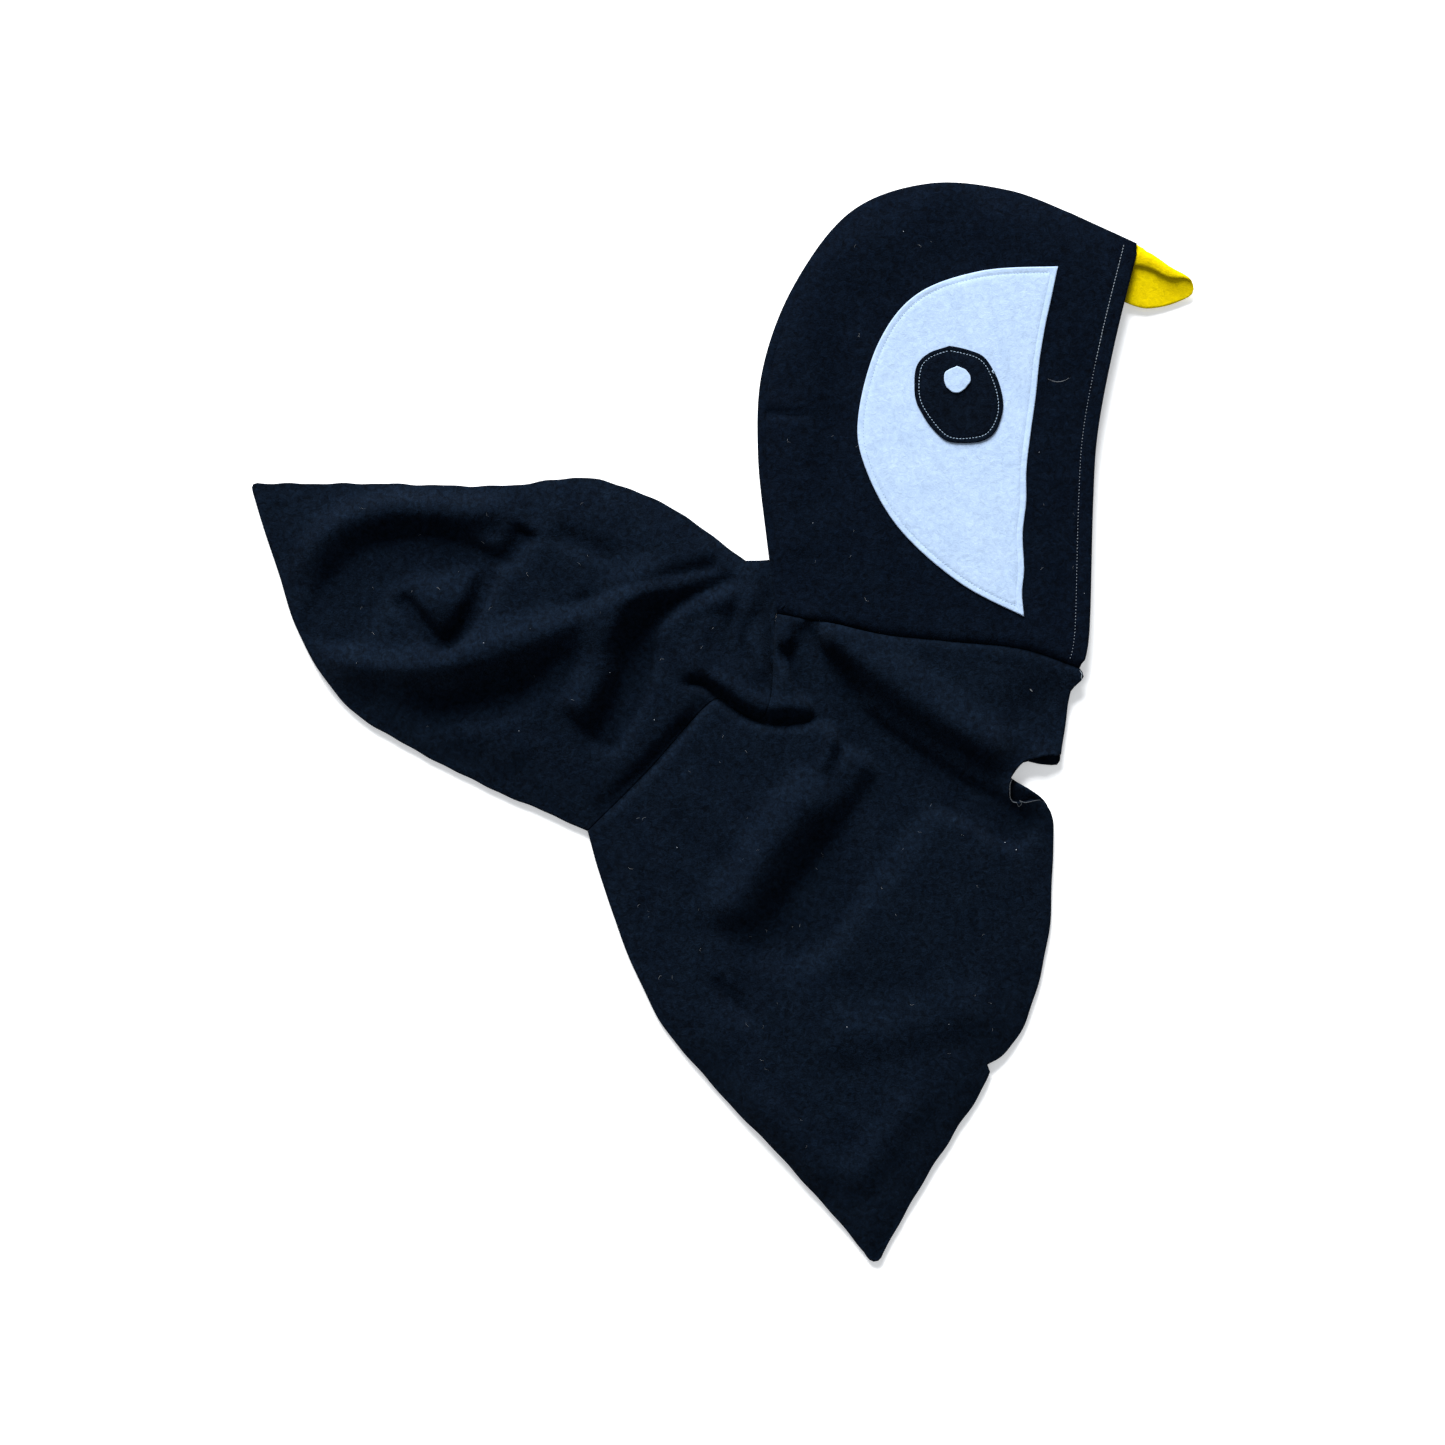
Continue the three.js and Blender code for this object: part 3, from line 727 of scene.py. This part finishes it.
GREY_LINT = (0.25, 0.28, 0.32)
DARK = 0.008, (0.4, 0.6, 1.0), 0.9, 0.5        # the sheen, relief and grain of every black felt
BLACK = felt("black_felt_cloth", (0.0011, 0.0030, 0.0070), (0.0022, 0.0050, 0.0104), (GREY_LINT, 0.04), *DARK)
# the hood's felt is the black felt made darker: painted shade over the whole hood
BLACK_HOOD_SHADED = felt("hood_felt_painted_shade", (0.0007, 0.0022, 0.0057), (0.0015, 0.0037, 0.0085),
                  (GREY_LINT, 0.03), *DARK)
# the pupils' felt is the black felt made a little darker: painted shade on the pupils
BLACK_TRIM_SHADED = felt("pupil_felt_painted_shade", (0.0010, 0.0025, 0.0060), (0.0018, 0.0041, 0.0087),
                  (GREY_LINT, 0.03), *DARK)
WHITE = felt("white_felt_cloth", (0.30, 0.40, 0.56), (0.345, 0.45, 0.61),
             ((0.35, 0.50, 0.62), 0.02), 0.05, (0.9, 0.95, 1.0), 0.3, 0.09)
YELLOW = felt("yellow_felt_cloth", (0.50, 0.37, 0.0001), (0.56, 0.44, 0.0002),
              ((0.9, 0.8, 0.3), 0.03), 0.02, (1.0, 0.9, 0.5), 0.4, 0.12)
GREY_THREAD = thread_material("grey_thread", (0.24, 0.29, 0.34))
WHITE_THREAD = thread_material("white_thread", (0.30, 0.42, 0.56))
DULL_THREAD = thread_material("dull_thread", (0.07, 0.085, 0.1))
LINT = thread_material("lint", (0.16, 0.18, 0.20))
HOOKS = tape_material("hook_tape", (0.02, 0.022, 0.026), True)
LOOPS = tape_material("loop_tape", (0.02, 0.022, 0.026), False)


def finished(obj, body, nodes=(), bend=None):
    """Hangs a piece on its body, or bakes its place into its mesh when it is given a bend, and hides the CAD
    nodes that it stands for.
    """
    if bend:
        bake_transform(obj)
    else:
        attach(obj, body)
    if nodes:
        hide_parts(*nodes)


def bend_across(hinge, towards, z):
    """Where a flap starts and stops bending: from its hinge line to BEND past it, so that nothing dips."""
    a, b = np.array(hinge, float)
    along = (b - a) / np.linalg.norm(b - a)
    over = np.array([-along[1], along[0]])
    middle = (a + b) / 2
    if (np.array(towards) - middle) @ over < 0:
        over = -over
    return (*middle, z), (*(middle + BEND * over), z)


TAIL_BEND = bend_across(TAIL_HINGE, TAIL_TIP, UPPER_EDGE)
WING_BEND = bend_across(WING_HINGE, WING_TIP, UPPER_EDGE)
BEAK_BEND = (279, 305.75, 9), (298, 301.2, 9)


# ==================== the hood ====================
PATCH_LIFT = FELT / 2 + TOUCH + TRIM / 2
PUPIL_LIFT = PATCH_LIFT + TRIM + TOUCH
HIGHLIGHT_LIFT = PUPIL_LIFT + TRIM + TOUCH
LEFT_HIGHLIGHT, LEFT_PUPIL, LEFT_PATCH, LEFT_HOOD = 0.6, 1.75, 2.9, 4.2


def lowered(line):
    """A seam line as it runs in the lower layer, so that no light falls through both layers."""
    dx, dy = UNDER_SHIFT
    return [(x + dx, y + dy) for x, y in line]


def hood_ring(pitch, neck=NECK_SEAM):
    """The hood's outline, with its hem let out past the face edge, ready to be turned under."""
    hem = let_out(even(FACE_CURVE, pitch), math.pi * FOLD + HEM - 2)
    ring = outline(NECK_BACK, CROWN, [BROW], [hem[0]], hem[1:], [NECK_FRONT], [*neck, NECK_BACK],
                   pitch=pitch)
    return inset(anticlockwise(ring), SEAM_GAP)


def patch_ring(pitch):
    """The white face patch: a curved back edge and a nearly straight front edge."""
    ring = outline(PATCH_TOP, [*PATCH_FRONT, PATCH_FOOT], [*PATCH_ROUND, PATCH_TOP], pitch=pitch)
    return anticlockwise(ring)


def blob_ring(knots, pitch, wobble=0.0):
    """A hand-cut round shape."""
    ring = anticlockwise(outline(knots[0], [*knots[1:], knots[0]], pitch=pitch))
    turn = np.linspace(0, 2 * math.pi, len(ring), endpoint=False)
    return inset(ring, wobble * (np.sin(5 * turn) + 0.6 * np.sin(11 * turn + 1))[:, None])


def left_hood_height(x, y):
    """The middle of the lower hood panel, lifted by the patch under it."""
    edge = np.minimum(gap(CROWN_LINE, x, y), gap(NECK_LINE, x, y))
    edge = np.minimum(edge, gap(FACE_CURVE, x, y))
    return FLOOR_LAYER + 0.1 + (LEFT_HOOD - FLOOR_LAYER - 0.1) * ease(edge, 5, 20)


def above(height, lift):
    """A height rule raised by a fixed amount."""
    return lambda x, y: height(x, y) + lift


def level(z):
    """The height rule of something flat."""
    return lambda x, y: np.full(np.shape(x), float(z))


def pinched(height, ring, depth, width, inward):
    """A height rule drawn down along a line of stitches that runs inside a ring."""
    def pressed(x, y):
        away = gap(looped(ring), x, y)
        return height(x, y) - depth * np.exp(-((away - inward) / width) ** 2)
    return pressed


def make_hood():
    """The two hood panels, sewn along crown and back, each with its face hem turned inside."""
    hem_line = even(FACE_CURVE, 1.5)[::-1]
    hem_crease = (hem_line, [-9.6, -8.4, -7.2, -5, -3, -1.4, -0.4, 0.3, 1, 1.7, 2.4, 3.1, 4.2])
    back_crease = (CROWN_LINE[:24], [4.9, 5.5, 6, 6.5, 7.1])
    right = panel("hood_felt_right", hood_ring(PITCH), hood_surface, BLACK_HOOD_SHADED,
                  place=turned(hem_line, FOLD), creases=[hem_crease, back_crease])
    finished(right, "root", ["hood_side_right"])
    low_ring = hood_ring(LOW_PITCH, lowered(NECK_SEAM))
    left = panel("hood_felt_left", low_ring, left_hood_height, BLACK_HOOD_SHADED, pitch=LOW_PITCH,
                 place=turned(hem_line, -FOLD), creases=[hem_crease])
    finished(left, "root", ["hood_side_left"])
    return right, left


def make_eyes(right_hood, left_hood):
    """On each side of the hood, a white patch, a dark pupil and a white highlight, one on top of the next."""
    patch = patch_ring(TRIM_PITCH)
    pupil = blob_ring(PUPIL, 1.6, 0.18)
    highlight = blob_ring(HIGHLIGHT, 1.0, 0.12)
    on_patch = pinched(above(hood_surface, PATCH_LIFT), patch, 0.28, 0.65, 4)
    on_pupil = pinched(above(hood_surface, PUPIL_LIFT), pupil, 0.45, 0.6, 3.2)
    patch_crease = (looped(patch), [-3, -3.5, -4, -4.5, -5])
    pupil_crease = (looped(pupil), [-2.4, -2.8, -3.2, -3.6, -4])
    sides = [("right", right_hood, (on_patch, on_pupil, above(hood_surface, HIGHLIGHT_LIFT)), TRIM_PITCH),
             ("left", left_hood, (level(LEFT_PATCH), level(LEFT_PUPIL), level(LEFT_HIGHLIGHT)), 3)]
    for side, under, heights, pitch in sides:
        layers = [("eye_patch", patch, WHITE, pitch, [patch_crease], "white_felt"),
                  ("pupil", pupil, BLACK_TRIM_SHADED, 1.8, [pupil_crease], "black_felt"),
                  ("eye_highlight", highlight, WHITE, 1.6, [], "white_felt")]
        made = []
        for (part, ring, cloth, facets, creases, slot), height in zip(layers, heights):
            piece = panel(f"{part}_felt_{side}", ring, height, cloth, TRIM, facets, creases=creases)
            finished(piece, "root", [f"{part}_{side}"])
            made.append(piece)
        for piece in made:
            under = piece


# ==================== the cape ====================
UNDER_HOOD = [(43, 80), (37, 112)]  # the tail panel reaches a little way under the hood
UNDER_SHIFT = (1.6, -1.8)  # from the seams of the upper layer to those of the lower
FLAP_FRONT = [(231, -22), (237.5, 21)]
NECK_LOOP = [(240, 24.5), (245, 29.5), (245.6, 33), NECK_FRONT]
FLAP_FOOT_UPPER = [(206, -27), (213, -24.6), (222, -22.8), (229, -23), FLAP_FRONT[0]]
FLAP_FOOT_LOWER = [(206, -27.4), (216, -28.6), (226, -29.2), (230, -27.6), FLAP_FRONT[0]]
NOTCH_UPPER = [(226, -67), (223.6, -59.5), (218, -53), (211, -52.4), (203, -54.2), (196.5, -53),
               (194.6, -48)]
NOTCH_LOWER = [(226, -67), (223.6, -59.5), (218.6, -51.5), (208, -44.5)]
NOTCH_RISE = 7  # how far the lower layer stands up in the notch
NOTCH_REACH = 12  # and how far in from its edge
CLOSURE = (219, 2)
CLOSURE_HALF = (9, 13)
CLOSURE_LEVEL = 4.1  # height of the upper flap where the closure holds it
HELD = (226, 2), (34, 30)  # middle and size of the part that is held down
FLAP_TUBE = (219, -26), (8, 14)  # and of the tube that the flap's foot stands open in
TUBE_RISE = 4.5
NOTCH_LIP = (203, -54), (16, 12)  # and of the raised lip of the notch
LIP_RISE = 4.0


def hand_cut(ring):
    """A cape outline with the small waves of a hem cut by hand, and true edges where it is sewn."""
    x, y = ring.T
    sewn = np.minimum(gap(smooth(TAIL_SEAM, 6), x, y), gap(NECK_LINE, x, y))
    wave = 0.35 * np.sin(x / 5.5 + y / 8) + 0.3 * np.sin(y / 13 - x / 21) + 0.2 * np.sin(x / 3.1)
    return inset(ring, SEAM_GAP + (0.35 + wave)[:, None] * ease(sewn, 8, 30)[:, None])


def tail_ring(pitch, seam=TAIL_SEAM[1:-1]):
    """The back panel of the cape, from its seam to the tip of the tail."""
    ring = outline(TAIL_ROOT, [*seam, TAIL_SEAM[-1]], [NECK_BACK], [UNDER_HOOD[0]], [UNDER_HOOD[1]],
                   [CAPE_CORNER], [*TAIL_BACK, TAIL_TIP_ROUND[0]], TAIL_TIP_ROUND[1:], [*TAIL_HEM, TAIL_ROOT],
                   pitch=pitch)
    return hand_cut(anticlockwise(ring))


def wing_ring(pitch, notch, flap_foot, seam=TAIL_SEAM[1:-1], neck=NECK_SEAM):
    """The side panel of the cape, from the neck to the tip of the wing."""
    ring = outline(TAIL_ROOT, [*WING_BACK, WING_TIP_ROUND[0]], WING_TIP_ROUND[1:], WING_FRONT, [WING_NICK],
                   [*WING_FRONT_TOP, notch[0]], [*notch[1:], FRONT_NOTCH], flap_foot, [FLAP_FRONT[1]],
                   NECK_LOOP, neck, [NECK_BACK], [TAIL_SEAM[-1]], [*seam[::-1], TAIL_ROOT], pitch=pitch)
    return hand_cut(anticlockwise(ring))


def upper_cape(x, y):
    """The upper layer of the cape, held down by the closure and raised at the flap's foot and the notch."""
    z = cape_surface(x, y)
    z = z + (CLOSURE_LEVEL - z) * hump(x, y, *HELD, 1.5)
    z = z + TUBE_RISE * hump(x, y, *FLAP_TUBE)
    return z + LIP_RISE * hump(x, y, *NOTCH_LIP)


def lower_wing(x, y):
    """The lower layer of the wing, flat but for its edge at the notch, which stands up a little."""
    side, along = beside([FRONT_NOTCH, *NOTCH_LOWER[:0:-1]], x, y)
    share = 27 / 4 * along * (1 - along) ** 2      # 0 at both ends, and 1 a third of the way along
    return FLOOR_LAYER + NOTCH_RISE * share * (1 - ease(np.abs(side), 0, NOTCH_REACH))


def make_cape():
    """The tail and wing panels of both sides."""
    seam, neck = lowered(TAIL_SEAM[1:-1]), lowered(NECK_SEAM)
    low_tail = panel("tail_felt_left", tail_ring(LOW_PITCH, seam), level(FLOOR_LAYER), BLACK, pitch=LOW_PITCH)
    finished(low_tail, "tail", ["tail_yoke_left", "tail_left"], TAIL_BEND)
    low_ring = wing_ring(4, NOTCH_LOWER, FLAP_FOOT_LOWER, seam, neck)
    low_wing = panel("wing_felt_left", low_ring, lower_wing, BLACK, pitch=4)
    finished(low_wing, "wing_left", ["cape_yoke_left", "wing_left"], WING_BEND)
    tail = panel("tail_felt_right", tail_ring(PITCH), upper_cape, BLACK)
    finished(tail, "tail", ["tail_yoke_right", "tail_right"], TAIL_BEND)
    wing = panel("wing_felt_right", wing_ring(PITCH, NOTCH_UPPER, FLAP_FOOT_UPPER), upper_cape, BLACK)
    finished(wing, "wing_right", ["cape_yoke_right", "wing_right"], WING_BEND)
    return low_wing


def make_closure():
    """A square of loop tape on the lower flap, and one of hook tape on that, under the upper flap."""
    (cx, cy), (half_w, half_l) = CLOSURE, CLOSURE_HALF
    xs, ys = np.linspace(cx - half_w, cx + half_w, 7), np.linspace(cy - half_l, cy + half_l, 9)
    for kind, z, cloth in [("loop", 2.1, LOOPS), ("hook", 2.95, HOOKS)]:
        rows = [[(x, y, z) for y in ys] for x in xs]
        tape = strip(f"closure_{kind}_square", rows, cloth, 0.7)
        finished(tape, "root", [f"closure_{kind}_tape"])


# ==================== the beak ====================
def make_beak():
    """One piece of yellow felt folded over: a narrow upper strip, and the wider side that shows under it."""
    lip = smooth([(279, 311.8, 6.7), (286, 310.8, 6.9), (293, 308.6, 6.9), (300, 304.8, 6.9),
                  (307, 302.7, 6.7), (314, 302.8, 6.4), (317.4, 301.4, 6.2)])
    ridge = smooth([(282, 325.5, 5.7), (291, 319.4, 5.9), (300, 313.4, 5.9), (308.6, 308, 5.9),
                    (316, 303.8, 5.8), (319.4, 300.6, 5.7)])
    hem = smooth([(273, 287, 4.6), (280, 284.2, 4.2), (289, 282.3, 3.2), (302, 284.1, 2.3),
                  (313.4, 288.2, 2.4), (319.4, 291.6, 3.0), (321, 295.4, 3.8), (320.4, 298.6, 4.7)])
    rows = []
    for edge, top, foot in zip(spread(lip, 18), spread(ridge, 18), spread(hem, 18)):
        width = np.linalg.norm(top - foot)
        over = 0.5 * edge + 0.5 * top + (0.1, 0.2, 0.04 * width)
        under = 0.75 * top + 0.25 * foot - (0, 0, 0.015 * width)
        hollow = 0.35 * top + 0.65 * foot - (0, 0, 0.02 * width)
        rows.append(spread(smooth([edge, over, top, under, hollow, foot], 8), 30))
    beak = strip("beak_felt", np.transpose(rows, (1, 0, 2)), YELLOW, TRIM)
    finished(beak, "beak", ["beak"], BEAK_BEND)


# ==================== thread ====================
def hem_share(along):
    """The hem's stitches are long at the brow and short towards the neck."""
    return 0.85 if along < 0.28 else 0.42


def make_stitches():
    """The hem stitching round the face, and the stitching that holds each patch and pupil."""
    hem = let_out(even(FACE_CURVE, 3), -HEM)[1:-1]
    back = even(smooth([PATCH_FOOT, *PATCH_ROUND, PATCH_TOP]), 2)
    back = let_out(back, -4)[3:-3]
    ring = looped(inset(blob_ring(PUPIL, 1.6), 3.2))
    sunk = TRIM / 2 - 0.3                      # the stitches draw the trim in by that much
    rows = [
        ("face_hem", "right", hem, above(hood_surface, FELT / 2), GREY_THREAD, hem_share, 0.19),
        ("face_hem", "left", hem, above(left_hood_height, 0.2 - FELT / 2), GREY_THREAD, 0.6, THREAD),
        ("patch", "right", back, above(hood_surface, PATCH_LIFT + sunk), WHITE_THREAD, 0.6, 0.18),
        ("patch", "left", back, level(LEFT_PATCH - TRIM / 2), WHITE_THREAD, 0.6, 0.18),
        ("pupil", "right", ring, above(hood_surface, PUPIL_LIFT + sunk), WHITE_THREAD, 0.72, 0.22),
        ("pupil", "left", ring, level(LEFT_PUPIL - TRIM / 2), WHITE_THREAD, 0.6, 0.18),
    ]
    for seed, (part, side, line, height, thread, share, radius) in enumerate(rows, 3):
        row = stitches(f"{part}_thread_{side}", line, height, thread, share, radius, seed)
        finished(row, "root", [f"{part}_stitch_{side}"])


def make_loose_threads():
    """The frayed thread at the notch, the thread ends at the neck, and the lint that felt picks up."""
    over = above(upper_cape, FELT / 2 + 0.15)
    frayed = [(197, -38.5), (195.6, -42), (195.4, -46.5), (195.6, -51), (197.6, -54), (200, -54.6),
              (201.6, -57.2), (203.4, -55), (202, -53.2), (205.5, -54.4), (211, -53.4), (216, -52.6)]
    loose(over, frayed, "notch_thread", 0.22, DULL_THREAD)
    loose(over, [(243, 35.5), (244.4, 33), (244, 30.4), (244.8, 28.6)], "neck_loop_thread", 0.22,
          GREY_THREAD)
    loose(over, [(209.2, 22.8), (210, 21.8), (210.9, 21)], "neck_speck", 0.32, LINT)
    loose(above(hood_surface, FELT / 2 + 0.1), [(221, 233.6), (226, 231.8), (231, 232), (236, 234.4)],
          "hood_fibre", 0.13, LINT)
    loose(above(hood_surface, PUPIL_LIFT + TRIM / 2 + 0.1), [(184.6, 237), (183.4, 238.6), (184.8, 240)],
          "pupil_knot", 0.42, WHITE_THREAD)
    scatter("tail_lint", tail_ring(8), above(upper_cape, FELT / 2), 34, 11, "tail", TAIL_BEND)
    scatter("wing_lint", wing_ring(8, NOTCH_UPPER, FLAP_FOOT_UPPER), above(upper_cape, FELT / 2), 46, 12,
            "wing_right", WING_BEND)
    scatter("hood_lint", hood_ring(8), above(hood_surface, FELT / 2), 16, 13, "root")


def loose(height, line, name, radius, cloth):
    """A loose bit of thread that lies on a surface."""
    line = smooth(line, 6)
    path = np.column_stack([line, height(*line.T)])[::3]
    finished(fibre(name, path, radius, cloth), "root")


def scatter(name, ring, height, count, seed, body, bend=None):
    """Short curled fibres lying about on one panel, made as one piece."""
    draw = random.Random(seed)
    low, high = ring.min(0), ring.max(0)
    patch = patch_ring(4)
    vertices, faces, rest = [], [], []
    while count:
        x, y = draw.uniform(low[0], high[0]), draw.uniform(low[1], high[1])
        turn, size, curl = draw.uniform(0, math.tau), draw.uniform(0.5, 1.8), draw.uniform(-1.2, 1.2)
        at = np.array([[x, y]])
        room = gap(looped(ring), *at.T)[0]
        if room < 12 or not inside(ring, *at.T)[0] or inside(patch, *at.T)[0]:
            continue
        count -= 1
        s = np.linspace(-1, 1, 5)
        px = x + size * (s * math.cos(turn) - curl * s * s * math.sin(turn) * 0.5)
        py = y + size * (s * math.sin(turn) + curl * s * s * math.cos(turn) * 0.5)
        pz = height(px, py) + 0.12
        thick = draw.uniform(0.03, 0.07)
        first = len(vertices)
        for cx, cy, cz in zip(px, py, pz):
            for side_x, up in ((-1, -0.5), (1, -0.5), (0, 1)):
                vertices.append((cx - thick * side_x * math.sin(turn), cy + thick * side_x * math.cos(turn),
                                 cz + thick * up))
                rest.append((cx, cy))
        faces += tube_faces(first, len(px), 3)
    finished(mesh_object(name, vertices, faces, LINT, rest), body, bend=bend)


# ==================== stage, light and camera ====================
FRAME_WIDTH = 0.9826   # metres that the picture is wide, at the height of the cloth
LENS, SENSOR = 120, 36


def plain(name, colour, roughness, glow):
    """The pale stage paint, lit a little from below like a light table so that shadows stay faint."""
    material = bpy.data.materials.new(name)
    material.use_nodes = True
    shader = material.node_tree.nodes["Principled BSDF"]
    shader.inputs["Base Color"].default_value = (*colour, 1)
    shader.inputs["Roughness"].default_value = roughness
    shader.inputs["Specular IOR Level"].default_value = 0.1
    shader.inputs["Emission Color"].default_value = (*colour, 1)
    shader.inputs["Emission Strength"].default_value = glow
    return material


def soft_light(name, place, size, watts):
    """A square softbox aimed at the middle of the cape."""
    lamp = bpy.data.lights.new(name, "AREA")
    lamp.energy = watts
    lamp.size = size
    obj = bpy.data.objects.new(name, lamp)
    obj.location = place
    obj.rotation_euler = (-Vector(place)).to_track_quat("-Z", "Y").to_euler()
    bpy.context.scene.collection.objects.link(obj)


def make_stage():
    """A pale floor just under the cloth, soft light from beyond the crown, and a camera straight above."""
    bpy.ops.mesh.primitive_plane_add(size=12, location=(0, 0, -0.0006))
    floor = bpy.context.object
    floor.name = "floor"
    floor.data.materials.append(plain("floor_paint", (0.86, 0.87, 0.88), 0.9, 0.4))
    soft_light("key", (-2.0, 8.5, 4.5), 5.0, 3100)
    soft_light("fill", (1.2, -2.0, 3.0), 3.0, 8)
    world = bpy.data.worlds.new("studio")
    world.use_nodes = True
    sky = world.node_tree.nodes["Background"].inputs
    sky["Color"].default_value = (0.93, 0.96, 1, 1)
    sky["Strength"].default_value = 0.34
    bpy.context.scene.world = world
    lens = bpy.data.cameras.new("camera")
    lens.lens = LENS
    lens.sensor_width = SENSOR
    lens.clip_end = 20
    camera = bpy.data.objects.new("camera", lens)
    camera.location = (0, 0, FRAME_WIDTH * LENS / SENSOR + 0.01)
    bpy.context.scene.collection.objects.link(camera)
    bpy.context.scene.camera = camera
    bpy.context.scene.view_settings.view_transform = "Standard"


make_stage()
hood_right, hood_left = make_hood()
make_eyes(hood_right, hood_left)
lower_panel = make_cape()
make_closure()
make_beak()
make_stitches()
make_loose_threads()
